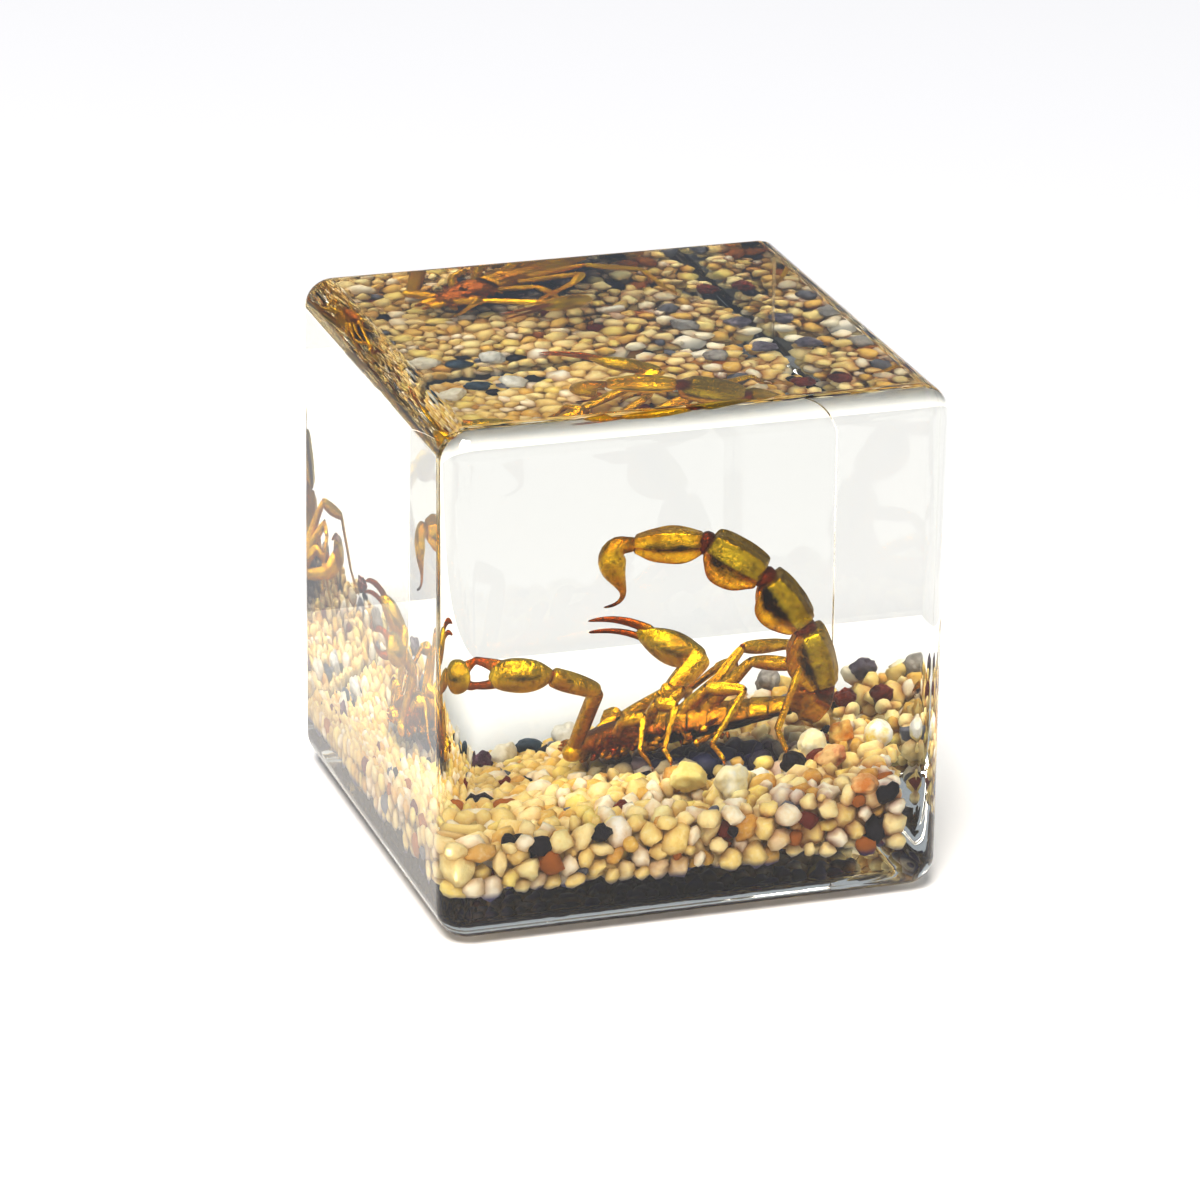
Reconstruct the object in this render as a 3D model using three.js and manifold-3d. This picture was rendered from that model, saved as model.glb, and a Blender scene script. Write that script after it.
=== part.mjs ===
// Scorpion cast in a clear resin block over a bed of gravel.
// Millimetres, +Z up. The origin is the centre of the block's flat base.
// +X is the block's right and -Y is its front face.
import * as THREE from 'three';
import { mergeVertices } from 'three/addons/utils/BufferGeometryUtils.js';
import { RoundedBoxGeometry } from 'three/addons/geometries/RoundedBoxGeometry.js';
import Module from 'manifold-3d';

// Driving dimensions
const BLOCK_WIDTH = 50;
const BLOCK_DEPTH = 51.5;
const BLOCK_HEIGHT = 51;
const EDGE_RADIUS = 3;
const POUR_LINE = 13.2;
const CLEARANCE = 0.3;

const BED_WIDTH = 48.4;
const BED_DEPTH = 49.9;
const BED_FLOOR = 4.4;
const BED_CORNER = 1.6;
const BED_CELL = 1.9;
const FRONT_HEIGHT = 10.3;
const BACK_HEIGHT = 11.0;
const LOWEST_BACK = 5.2;
const STONE_PITCH = 3.1;
const STONE_DOME = 0.75;

const UP = new THREE.Vector3(0, 0, 1);
const wasm = await Module();
wasm.setup();

// Solids

function toSolid(geometry) {
  const bare = geometry.index ? geometry.toNonIndexed() : geometry;
  bare.deleteAttribute('normal');
  bare.deleteAttribute('uv');
  const merged = mergeVertices(bare, 1e-4);
  return new wasm.Manifold(new wasm.Mesh({
    numProp: 3,
    vertProperties: new Float32Array(merged.attributes.position.array),
    triVerts: new Uint32Array(merged.index.array),
  }));
}

function toGeometry(solid) {
  const mesh = solid.getMesh();
  const geometry = new THREE.BufferGeometry();
  geometry.setAttribute('position', new THREE.BufferAttribute(mesh.vertProperties, 3));
  geometry.setIndex(new THREE.BufferAttribute(mesh.triVerts, 1));
  geometry.computeVertexNormals();
  return geometry;
}

function fuse(solids) {
  return solids.reduce((whole, solid) => whole.add(solid));
}

function cut(solid, tools) {
  return tools.reduce((rest, tool) => rest.subtract(tool), solid);
}

function box(low, high) {
  const size = high.clone().sub(low);
  const geometry = new THREE.BoxGeometry(size.x, size.y, size.z);
  geometry.translate(low.x + size.x / 2, low.y + size.y / 2, low.z + size.z / 2);
  return toSolid(geometry);
}

function at(x, y, z) {
  return new THREE.Vector3(x, y, z);
}

// A turned limb between two points. The profile lists how far along it is, from 0 to 1, and
// the radius there. The section is flattened by wide and deep, across and along the upright.
function limb(from, to, profile, options) {
  const { radius, sides = 5, wide = 1, deep = 1, reach = 0.25, grow = 0 } = options;
  const along = to.clone().sub(from).normalize();
  const start = from.clone().addScaledVector(along, -reach - grow);
  const length = to.distanceTo(from) + 2 * (reach + grow);
  const points = profile.map(([t, r]) => new THREE.Vector2(r * radius + grow, t * length));
  points.unshift(new THREE.Vector2(0, 0));
  points.push(new THREE.Vector2(0, length));
  const geometry = new THREE.LatheGeometry(points, sides);
  geometry.rotateY(Math.PI / sides);
  geometry.scale(wide, 1, deep);
  const across = along.clone().cross(UP).normalize();
  const upright = across.clone().cross(along);
  geometry.applyMatrix4(new THREE.Matrix4().makeBasis(across, along, upright).setPosition(start));
  return toSolid(geometry);
}

const TAPER = [[0, 0.95], [1, 0.6]];
const SPINDLE = [[0, 0.5], [0.4, 1], [1, 0.5]];
const CLAW = [[0, 1], [1, 0.25]];
const RING = [[0, 0.68], [0.14, 0.9], [0.6, 1], [0.9, 0.93], [1, 0.72]];
const PALM = [[0, 0.35], [0.18, 0.78], [0.5, 1], [0.8, 0.8], [1, 0.45]];
const BULB = [[0, 0.5], [0.2, 0.88], [0.5, 1], [0.78, 0.7], [1, 0.3]];

// The scorpion. It faces left and a little backwards, its tail arched over its back.
const REAR = at(14.6, -2.2, 14.5);
const WAIST = at(1.4, 3.8, 12.3);
const BROW = at(-4.8, 6.7, 10.5);

const TAIL = [
  [at(15.2, -2.5, 14.3), at(17.0, -4.2, 16.9), 2.2],
  [at(16.8, -4.3, 17.2), at(15.0, -5.0, 23.0), 2.3],
  [at(14.5, -5.0, 23.8), at(11.1, -4.7, 28.4), 2.25],
  [at(10.4, -4.5, 29.2), at(5.7, -3.1, 32.2), 2.3],
  [at(4.9, -2.7, 32.6), at(-1.4, -0.9, 32.7), 1.95],
];
const STING = [at(-3.3, -0.3, 29.8), at(-2.2, -0.2, 28.2), at(-2.7, -0.1, 27.0), at(-4.3, 0, 26.4)];

// Each leg runs from its hip over two knees to the ankle and the foot.
const LEGS = [
  [at(-2.2, 3.9, 11.4), at(-1.9, 2.0, 13.8), at(-0.1, 0.6, 14.4),
    at(-0.7, -1.0, 11.5), at(0.3, -1.7, 9.9)],
  [at(0.1, 3.2, 11.9), at(1.3, 1.0, 15.6), at(3.0, -0.4, 15.5),
    at(1.5, -2.0, 11.7), at(2.1, -2.7, 10.4)],
  [at(2.6, 2.6, 12.4), at(6.2, 0.0, 16.9), at(9.6, -2.0, 16.8),
    at(6.0, -4.0, 12.1), at(7.0, -4.7, 10.6)],
  [at(4.6, 1.6, 12.6), at(10.3, -1.8, 19.7), at(14.5, -5.6, 19.7),
    at(12.1, -6.5, 13.4), at(12.9, -7.2, 11.5)],
  [at(-1.6, 6.4, 11.0), at(-0.9, 8.4, 13.0), at(-2.0, 9.8, 12.6),
    at(-3.0, 9.8, 10.2), at(-3.9, 9.9, 9.1)],
  [at(1.6, 5.6, 12.0), at(5.4, 8.0, 14.9), at(6.6, 10.2, 14.2),
    at(6.6, 11.6, 11.6), at(6.9, 12.4, 10.4)],
  [at(3.6, 4.4, 12.6), at(10.6, 7.0, 17.2), at(9.2, 9.0, 16.6),
    at(5.2, 10.5, 13.2), at(4.3, 11.2, 11.4)],
  [at(5.4, 3.4, 13.0), at(11.1, 6.0, 19.2), at(16.6, 8.5, 18.4),
    at(18.4, 10.4, 13.2), at(19.4, 11.2, 11.7)],
];

// Each arm has its hip, elbow, wrist, palm end and the tips of the fixed and the moving finger.
const ARMS = [
  [at(-4.1, 5.7, 10.9), at(-6.7, 3.4, 10.9), at(-4.8, 0.5, 18.0), at(-9.6, 0.2, 19.7), at(-14.6, 1.4, 20.6),
    at(-18.6, 3.2, 21.9), at(-18.4, 3.4, 20.0)],
  [at(-3.0, 7.6, 11.4), at(-1.2, 8.5, 12.3), at(5.3, 12.5, 13.9), at(8.9, 14.2, 16.8), at(3.4, 17.4, 18.8),
    at(-2.1, 19.5, 20.3), at(-1.7, 20.1, 18.9)],
];

function leg([hip, knee, shin, ankle, foot], grow) {
  return [
    limb(hip, knee, SPINDLE, { radius: 0.75, deep: 1.25, grow }),
    limb(knee, shin, SPINDLE, { radius: 0.72, deep: 1.2, grow }),
    limb(shin, ankle, TAPER, { radius: 0.48, sides: 4, grow }),
    limb(ankle, foot, TAPER, { radius: 0.4, sides: 4, reach: 0.15, grow }),
  ];
}

function finger(from, to, radius, bend, grow) {
  const middle = from.clone().lerp(to, 0.5).add(at(0, 0, bend));
  return [
    limb(from, middle, TAPER, { radius, deep: 1.2, grow }),
    limb(middle, to, CLAW, { radius: radius * 0.62, reach: 0.1, grow }),
  ];
}

function arm([hip, trochanter, elbow, wrist, palmEnd, fixedTip, movingTip], grow) {
  const lower = palmEnd.clone().add(at(0, 0, -0.9));
  const upper = palmEnd.clone().add(at(0, 0, 0.8));
  return [
    limb(hip, trochanter, SPINDLE, { radius: 1.2, grow }),
    limb(trochanter, elbow, SPINDLE, { radius: 1.0, sides: 8, grow }),
    limb(elbow, wrist, SPINDLE, { radius: 1.2, sides: 8, grow }),
    limb(wrist, palmEnd, PALM, { radius: 1.9, sides: 8, wide: 0.85, grow }),
    ...finger(upper, fixedTip, 0.62, 0.35, grow),
    ...finger(lower, movingTip, 0.55, -0.3, grow),
  ];
}

function tail(grow) {
  const rings = TAIL.map(([from, to, radius]) => limb(from, to, RING, { radius, sides: 8, grow }));
  const bulb = limb(at(-3.0, -0.6, 33.3), at(-3.5, -0.3, 29.6), BULB, { radius: 1.6, sides: 8, grow });
  const neck = limb(at(-1.4, -0.9, 32.8), at(-3.0, -0.5, 32.4), TAPER, { radius: 1.0, grow });
  const sting = [
    limb(STING[0], STING[1], TAPER, { radius: 0.7, grow }),
    limb(STING[1], STING[2], TAPER, { radius: 0.42, reach: 0.15, grow }),
    limb(STING[2], STING[3], CLAW, { radius: 0.3, reach: 0.12, grow }),
  ];
  return [...rings, neck, bulb, ...sting];
}

function trunk(grow) {
  const bands = [0.5, 0.68, 0.82, 0.92, 1, 1, 0.92];
  const profile = bands.flatMap((r, i) => [[(i + 0.03) / 7, r * 0.93], [(i + 0.9) / 7, r]]);
  const chest = [[0, 0.86], [0.3, 1], [0.75, 0.86], [1, 0.6]];
  const jaws = [-0.75, 0.75].map((side) => {
    const root = BROW.clone().add(at(0.3 * side, 0.7 * side, 0.5));
    return limb(root, root.clone().add(at(-1.5, 0.55, -0.35)), SPINDLE, { radius: 0.8, deep: 0.9, grow });
  });
  const eyes = limb(at(-1.9, 4.85, 12.6), at(-1.3, 5.75, 12.65), SPINDLE, { radius: 0.45, reach: 0, grow });
  return [
    limb(REAR, WAIST, profile, { radius: 2.9, sides: 10, deep: 0.62, grow }),
    limb(WAIST, BROW, chest, { radius: 2.7, sides: 8, deep: 0.62, grow }),
    ...jaws,
    eyes,
  ];
}

function buildScorpion(grow) {
  const legs = LEGS.flatMap((points) => leg(points, grow));
  const arms = ARMS.flatMap((points) => arm(points, grow));
  return fuse([...trunk(grow), ...tail(grow), ...arms, ...legs]);
}

// The gravel. Its surface falls from the right and the front towards the back left corner,
// with a shallow hollow under the scorpion.
function noise(i, j) {
  const wave = Math.sin(i * 127.1 + j * 311.7) * 43758.5453;
  return wave - Math.floor(wave);
}

function slope(x, y) {
  const front = FRONT_HEIGHT + 0.025 * x;
  const back = Math.max(LOWEST_BACK, BACK_HEIGHT - 0.2 * Math.max(0, 18 - x));
  const depth = Math.max(0, y / BED_DEPTH + 0.5);
  const hollow = 0.3 * Math.exp(-((x - 3) ** 2) / 120 - (y - 3) ** 2 / 60);
  return front + (back - front) * depth ** 1.5 - hollow;
}

function stoneDome(x, y) {
  let dome = 0;
  const column = Math.round(x / STONE_PITCH);
  const row = Math.round(y / STONE_PITCH);
  for (let i = column - 1; i <= column + 1; i += 1) {
    for (let j = row - 1; j <= row + 1; j += 1) {
      const cx = (i + 0.5 * (noise(i, j) - 0.5)) * STONE_PITCH;
      const cy = (j + 0.5 * (noise(j, i + 40) - 0.5)) * STONE_PITCH;
      const reach = 1.5 + 0.5 * noise(i + 9, j + 5);
      const near = 1 - ((x - cx) ** 2 + (y - cy) ** 2) / reach ** 2;
      dome = Math.max(dome, STONE_DOME * (0.7 + 0.6 * noise(i + 3, j)) * Math.sqrt(Math.max(0, near)));
    }
  }
  return dome;
}

function buildBed() {
  const columns = Math.round(BED_WIDTH / BED_CELL);
  const rows = Math.round(BED_DEPTH / BED_CELL);
  const geometry = new THREE.BoxGeometry(BED_WIDTH + 2, BED_DEPTH + 2, 1, columns, rows, 1);
  const place = geometry.attributes.position;
  for (let n = 0; n < place.count; n += 1) {
    const x = place.getX(n);
    const y = place.getY(n);
    place.setZ(n, place.getZ(n) < 0 ? 0 : slope(x, y) + stoneDome(x, y) - 0.25);
  }
  return toSolid(geometry);
}

// Single stones that lie on the bed and show most: place, half sizes, turn and corners.
const STONES = [
  {
    name: 'pebble_egg', at: [22.6, -6.2], half: [1.5, 1.7, 1.5],
    turn: 0, colour: 0xeee6c8, detail: 1,
  },
  {
    name: 'pebble_oxblood', at: [23.0, 11.0], half: [1.1, 1.2, 1.0],
    turn: 0, colour: 0x4a1a16, detail: 0,
  },
  {
    name: 'pebble_blue_black', at: [-7.2, 22.4], half: [1.5, 1.0, 0.9],
    turn: 0.1, colour: 0x24323f, detail: 1,
  },
  {
    name: 'pebble_pale_grey', at: [-3.6, 22.0], half: [1.5, 1.4, 1.3],
    turn: 1.2, colour: 0xb9b3a8, detail: 1,
  },
  {
    name: 'pebble_plum', at: [-12.9, 18.9], half: [1.1, 1.0, 1.0],
    turn: 0.5, colour: 0x4b3442, detail: 0,
  },
  {
    name: 'pebble_cream_round', at: [16.0, -5.6], half: [1.5, 1.5, 1.4],
    turn: 0, colour: 0xe9dba6, detail: 1,
  },
  {
    name: 'pebble_black', at: [12.9, -11.0], half: [1.4, 1.1, 1.0],
    turn: 0.4, colour: 0x1b1720, detail: 1,
  },
  {
    name: 'pebble_rust', at: [16.5, -11.4], half: [1.6, 1.2, 1.1],
    turn: 2.5, colour: 0xc0622b, detail: 0,
  },
  {
    name: 'pebble_orange', at: [17.4, -23.2], half: [1.5, 1.0, 1.0],
    turn: 0.1, colour: 0xd98e3e, detail: 1,
  },
  {
    name: 'pebble_cream_large', at: [5.5, -15.8], half: [1.8, 1.7, 1.4],
    turn: 1.0, colour: 0xeadfb4, detail: 1,
  },
  {
    name: 'pebble_butter', at: [2.2, -10.4], half: [1.8, 1.5, 1.3],
    turn: 0.2, colour: 0xf0e6b0, detail: 1,
  },
  {
    name: 'pebble_milk', at: [-10.4, 21.0], half: [1.5, 1.4, 1.2],
    turn: 0.9, colour: 0xe7e1d0, detail: 1,
  },
  {
    name: 'pebble_slate', at: [22.6, 21.8], half: [1.3, 1.2, 1.1],
    turn: 0.2, colour: 0x6e6770, detail: 0,
  },
  {
    name: 'pebble_grey', at: [17.1, 20.8], half: [1.5, 1.3, 1.2],
    turn: 0.6, colour: 0x8f8988, detail: 1,
  },
  {
    name: 'pebble_amber', at: [19.5, -3.2], half: [1.4, 1.3, 1.2],
    turn: 1.7, colour: 0xc98a3c, detail: 1,
  },
];

function stone({ at: [x, y], half, turn, detail }, grow) {
  const geometry = detail ? new THREE.IcosahedronGeometry(1, 1) : new THREE.DodecahedronGeometry(1, 0);
  geometry.scale(half[0] + grow, half[1] + grow, half[2] + grow);
  geometry.rotateZ(turn);
  geometry.translate(x, y, slope(x, y) + 0.55 * half[2]);
  return toSolid(geometry);
}

// The clear block, parted at the pour line, with a recess round what it holds
function buildBlock() {
  const geometry = new RoundedBoxGeometry(BLOCK_WIDTH, BLOCK_DEPTH, BLOCK_HEIGHT, 2, EDGE_RADIUS);
  geometry.translate(0, 0, BLOCK_HEIGHT / 2);
  return toSolid(geometry);
}

function uprightPrism(outline, bottom, top) {
  const shape = new THREE.Shape(outline.map(([x, y]) => new THREE.Vector2(x, y)));
  const geometry = new THREE.ExtrudeGeometry(shape, { depth: top - bottom, bevelEnabled: false });
  geometry.translate(0, 0, bottom);
  return toSolid(geometry);
}

function roundedPlan(width, depth, corner) {
  const x = width / 2;
  const y = depth / 2;
  return [
    [-x + corner, -y], [x - corner, -y], [x, -y + corner], [x, y - corner],
    [x - corner, y], [-x + corner, y], [-x, y - corner], [-x, -y + corner],
  ];
}

function tunnel(from, to, radius) {
  return limb(from, to, [[0, 1], [1, 1]], { radius: radius * 1.06, sides: 6, reach: 0.8 });
}

const scorpion = buildScorpion(0);
const stones = STONES.map((entry) => stone(entry, 0));
const bedPlan = uprightPrism(roundedPlan(BED_WIDTH, BED_DEPTH, BED_CORNER), BED_FLOOR, POUR_LINE + 5);
const bed = cut(buildBed().intersect(bedPlan), [
  buildScorpion(CLEARANCE),
  ...STONES.map((entry) => stone(entry, CLEARANCE)),
]);

const bedRecess = uprightPrism(
  roundedPlan(BED_WIDTH + 2 * CLEARANCE, BED_DEPTH + 2 * CLEARANCE, BED_CORNER),
  BED_FLOOR - CLEARANCE,
  POUR_LINE + 1.2,
);
const legPocket = uprightPrism(
  [[-8.5, 11.5], [-8.5, 1], [4, -4.5], [12, -9], [19, -9], [21.5, -3], [21, 13], [10, 14]],
  POUR_LINE - 1,
  22.3,
);
const tailTunnels = [
  tunnel(at(17.4, -4.6, 20), at(15.3, -5.0, 23.6), 2.95),
  tunnel(at(15.3, -5.0, 23.6), at(11.3, -4.6, 29.2), 2.95),
  tunnel(at(11.3, -4.6, 29.2), at(5.4, -2.8, 33.1), 2.95),
  tunnel(at(5.4, -2.8, 33.1), at(-2.6, -0.7, 32.8), 2.6),
  tunnel(at(-3.2, -0.6, 33.6), at(-3.4, -0.1, 26.6), 2.5),
];
const armTunnels = [
  tunnel(at(-5.4, 1.2, 15), at(-5.2, 0.5, 18), 2.1),
  tunnel(at(-5.2, 0.5, 17.6), at(-9.6, 0.2, 19.8), 2.1),
  tunnel(at(-9.6, 0.2, 19.8), at(-15.2, 1.6, 20.6), 2.6),
  tunnel(at(-15.2, 1.6, 20.6), at(-18.4, 3.3, 21), 2.1),
  tunnel(at(0, 9, 12.6), at(5.3, 12.5, 14), 2.1),
  tunnel(at(5.3, 12.5, 14), at(9.0, 14.2, 17), 2.2),
  tunnel(at(9.0, 14.2, 17), at(2.8, 17.8, 19), 2.7),
  tunnel(at(2.8, 17.8, 19), at(-1.8, 19.8, 19.7), 2.1),
];
const recess = fuse([bedRecess, legPocket, ...tailTunnels, ...armTunnels]);
const hollowBlock = buildBlock().subtract(recess);
const lowerSide = box(at(-40, -40, -10), at(40, 40, POUR_LINE));
const upperSide = box(at(-40, -40, POUR_LINE), at(40, 40, 70));

// Scene graph
function clearResin() {
  return new THREE.MeshStandardMaterial({
    color: 0xf4f7f8, roughness: 0.05, metalness: 0, transparent: true, opacity: 0.3,
  });
}

function finish(color, roughness, metalness = 0) {
  return new THREE.MeshStandardMaterial({ color, roughness, metalness });
}

function addPiece(name, solid, material) {
  const mesh = new THREE.Mesh(toGeometry(solid), material);
  mesh.name = name;
  part.add(mesh);
}

const part = new THREE.Group();
addPiece('resin_lower', hollowBlock.intersect(lowerSide), clearResin());
addPiece('resin_upper', hollowBlock.intersect(upperSide), clearResin());
addPiece('gravel_bed', bed, finish(0xcdb27c, 0.85));
STONES.forEach(({ name, colour }, n) => addPiece(name, stones[n], finish(colour, 0.6)));
addPiece('scorpion', scorpion, finish(0xa9822b, 0.4, 0.3));

export default part;
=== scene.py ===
import math

import bmesh
import bpy
import numpy as np
from mathutils import Euler, Matrix, Vector, noise


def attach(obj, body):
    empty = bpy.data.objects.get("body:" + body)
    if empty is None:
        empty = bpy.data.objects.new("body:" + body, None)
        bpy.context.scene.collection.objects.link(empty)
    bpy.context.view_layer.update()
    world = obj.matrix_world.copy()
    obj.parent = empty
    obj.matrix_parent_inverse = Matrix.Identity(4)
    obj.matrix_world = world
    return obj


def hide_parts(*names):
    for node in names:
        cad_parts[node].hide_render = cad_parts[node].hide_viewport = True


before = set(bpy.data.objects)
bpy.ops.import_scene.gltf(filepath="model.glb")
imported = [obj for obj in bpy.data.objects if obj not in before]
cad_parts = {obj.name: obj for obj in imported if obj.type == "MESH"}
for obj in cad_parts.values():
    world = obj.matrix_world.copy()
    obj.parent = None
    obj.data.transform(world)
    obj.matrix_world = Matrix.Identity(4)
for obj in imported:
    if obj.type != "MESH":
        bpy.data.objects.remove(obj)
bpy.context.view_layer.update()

# Camera and studio
#
# A long lens looks down on the block from its front left. The block stands on a pale card that ends a little
# way behind and in front of it, on a pale table, under a large soft light in a pale room.
MM = 0.001
scene = bpy.context.scene

camera_data = bpy.data.cameras.new("camera")
camera_data.sensor_width = 36
camera_data.lens = 178.77
camera_data.clip_start = 0.02
camera_data.clip_end = 20
camera = bpy.data.objects.new("camera", camera_data)
camera_right = Vector((0.951616, -0.307110, 0.010481))
camera_up = Vector((0.099959, 0.341628, 0.934504))
camera_back = camera_right.cross(camera_up)
camera_turn = Matrix((camera_right, camera_up, camera_back)).transposed().to_4x4()
camera.matrix_world = Matrix.Translation(Vector((-170.676, -516.857, 230.372)) * MM) @ camera_turn
scene.collection.objects.link(camera)
scene.camera = camera
scene.view_settings.view_transform = "Standard"
scene.view_settings.exposure = 0.3
scene.view_settings.gamma = 0.8


def colour(code):
    """The linear colour of a six-figure sRGB code."""
    parts = [int(code[n : n + 2], 16) / 255 for n in (0, 2, 4)]
    return tuple(part / 12.92 if part <= 0.04045 else ((part + 0.055) / 1.055) ** 2.4 for part in parts)


room = bpy.data.worlds.new("room")
room.use_nodes = True
room.node_tree.nodes["Background"].inputs["Color"].default_value = (*colour("dfe8f2"), 1)
room.node_tree.nodes["Background"].inputs["Strength"].default_value = 0.45
scene.world = room


def soft_light(name, place, aim, size, power, tone):
    """A large rectangular light that faces what it is aimed at."""
    data = bpy.data.lights.new(name, "AREA")
    data.shape = "RECTANGLE"
    data.size, data.size_y = size
    data.energy = power
    data.color = colour(tone)
    light = bpy.data.objects.new(name, data)
    turn = (Vector(aim) - Vector(place)).to_track_quat("-Z", "Y").to_matrix().to_4x4()
    light.matrix_world = Matrix.Translation(place) @ turn
    scene.collection.objects.link(light)


soft_light("overhead", (-0.72, -1.04, 2.24), (0, 0, 0.02), (1.44, 1.44), 124.0, "fffaf4")


class Value:
    """One output of a shader node. Sums and products of it add the Math nodes that they need."""

    def __init__(self, finish, socket):
        self.finish = finish
        self.socket = socket

    def maths(self, operation, *others):
        return self.finish.node("Math", {"operation": operation}, dict(enumerate((self, *others))))

    def __add__(self, other):
        return self.maths("ADD", other)

    def __sub__(self, other):
        return self.maths("SUBTRACT", other)

    def __rsub__(self, other):
        return self * -1 + other

    def __mul__(self, other):
        return self.maths("MULTIPLY", other)

    __radd__ = __add__
    __rmul__ = __mul__


class Finish:
    """A material on one Principled shader. Its settings are the shader's own sockets by name."""

    def __init__(self, name, settings):
        self.material = bpy.data.materials.new(name)
        self.material.use_nodes = True
        self.tree = self.material.node_tree
        self.shader = self.tree.nodes["Principled BSDF"]
        for socket, value in settings.items():
            self.paint(socket, value)

    def put(self, socket, value):
        """Sets a socket, or links it to what varies over the surface."""
        if isinstance(value, Value):
            self.tree.links.new(value.socket, socket)
        elif socket.type == "RGBA":
            socket.default_value = (*value, 1)
        else:
            socket.default_value = value

    def paint(self, socket, value):
        self.put(self.shader.inputs[socket], value)

    def node(self, kind, settings, values, output=0):
        """Adds a node: its settings come first, then the values or links of its inputs."""
        node = self.tree.nodes.new("ShaderNode" + kind)
        for key, value in settings.items():
            if key == "stops":
                ramp = node.color_ramp.elements
                while len(ramp) < len(value):
                    ramp.new(1)
                for stop, (position, tone) in zip(ramp, value):
                    stop.position = position
                    stop.color = (*tone, 1)
            elif key == "ease":
                node.color_ramp.interpolation = value
            else:
                setattr(node, key, value)
        for key, value in values.items():
            self.put(node.inputs[key], value)
        return Value(self, node.outputs[output])

    def place(self):
        return self.node("TexCoord", {}, {}, "Object")

    def layer(self, name, output="Fac"):
        """What the mesh's own layer of that name holds at each point."""
        return self.node("Attribute", {"attribute_name": name}, {}, output)

    def grain(self, pitch, detail=3, rough=0.5):
        """Soft noise from 0 to 1, whose lumps are about pitch millimetres wide."""
        values = {"Vector": self.place(), "Scale": 1 / (pitch * MM), "Detail": detail, "Roughness": rough}
        return self.node("TexNoise", {}, values, "Fac")

    def mix(self, share, low, high):
        """The colour low, changing to high as the share goes from 0 to 1."""
        return self.node("Mix", {"data_type": "RGBA"}, {0: share, 6: low, 7: high}, 2)

    def steps(self, share, low, high):
        """The share, stretched so that low gives 0 and high gives 1."""
        values = {"Value": share, "From Min": low, "From Max": high}
        return self.node("MapRange", {"clamp": True}, values)

    def bump(self, height, depth, share):
        """Roughens the surface by depth millimetres between heights of 0 and 1."""
        values = {"Strength": share, "Distance": depth * MM, "Height": height}
        self.paint("Normal", self.node("Bump", {}, values))


def stage_sheet(name, low, high, height, tone):
    """A flat sheet for the block to stand on, between two corners and at a height."""
    bm = bmesh.new()
    bmesh.ops.create_grid(bm, x_segments=1, y_segments=1, size=0.5)
    size = Vector(high) - Vector(low)
    centre = (Vector(high) + Vector(low)) / 2
    bmesh.ops.scale(bm, vec=(size.x, size.y, 1), verts=bm.verts)
    bmesh.ops.translate(bm, vec=(centre.x, centre.y, height), verts=bm.verts)
    mesh = bpy.data.meshes.new(name)
    bm.to_mesh(mesh)
    bm.free()
    mesh.materials.append(Finish(name, {"Base Color": colour(tone), "Roughness": 0.7}).material)
    sheet = bpy.data.objects.new(name, mesh)
    scene.collection.objects.link(sheet)


stage_sheet("table", (-3, -3), (3, 3), -0.0006, "bcbdc0")
stage_sheet("card", (-0.6, -0.098), (0.11, 0.0645), -0.0003, "ebeae8")

# Resin block
#
# Cast clear polyester resin, poured in two goes in a cube mould, then ground and polished to glass-like
# faces. Its edges are soft and round, but the upright one at the rear right is nearly sharp. One clear piece
# stands for both halves of the part, which has no seam.
BLOCK_SIZE = (50, 51.5, 51)
EDGE_RADIUS = 3.0
REAR_RIGHT_SHARE = 0.06


def add_piece(name, bm, finish, slot, *nodes):
    """Puts a mesh drawn in millimetres into the scene, in place of the nodes that it stands for."""
    bmesh.ops.recalc_face_normals(bm, faces=bm.faces)
    bmesh.ops.scale(bm, vec=(MM, MM, MM), verts=bm.verts)
    mesh = bpy.data.meshes.new(name)
    bm.to_mesh(mesh)
    bm.free()
    mesh.shade_smooth()
    mesh.materials.append(finish.material)
    made = bpy.data.objects.new(name, mesh)
    scene.collection.objects.link(made)
    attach(made, "root")
    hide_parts(*nodes)
    return made


block = bmesh.new()
bmesh.ops.create_cube(block, size=1)
bmesh.ops.scale(block, vec=BLOCK_SIZE, verts=block.verts)
bmesh.ops.translate(block, vec=(0, 0, BLOCK_SIZE[2] / 2), verts=block.verts)
share = block.edges.layers.float.new("bevel_weight_edge")
for edge in block.edges:
    middle = (edge.verts[0].co + edge.verts[1].co) / 2
    edge[share] = REAR_RIGHT_SHARE if middle.x > 0 and middle.y > 0 else 1.0
clear_resin = Finish("clear_resin", {
    "Base Color": (0.985, 0.99, 0.992), "Roughness": 0.0, "Transmission Weight": 1.0, "IOR": 1.49,
})
absorption = clear_resin.node("VolumeAbsorption", {}, {"Color": (0.66, 0.66, 0.52), "Density": 6.2})
absorbed = clear_resin.tree.nodes["Material Output"].inputs["Volume"]
clear_resin.put(absorbed, absorption)
resin_block = add_piece("resin_block", block, clear_resin, "clear_resin", "resin_lower", "resin_upper")
soft_edges = resin_block.modifiers.new("soft edges", "BEVEL")
soft_edges.limit_method = "WEIGHT"
soft_edges.width = EDGE_RADIUS * MM
soft_edges.segments = 10
flat_faces = resin_block.modifiers.new("flat faces", "WEIGHTED_NORMAL")
flat_faces.weight = 100

# Gravel
#
# Over two thousand small rounded quartz stones, 1 to 3 mm across, cream and white with a few tan, red, grey
# and black ones, poured into the mould on the first layer of resin and set in it. The layer falls to the
# back left.
STONE_COUNT = 2250
SETTLE_ROUNDS = 120
PACKING = 0.88
BED_HALF = (24.2, 24.95)
BED_WALL = (24.6, 25.3)
BED_FLOOR = 4.4
FRONT_RIGHT_GAP = 2.9
seed = np.random.default_rng(29)


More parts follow.
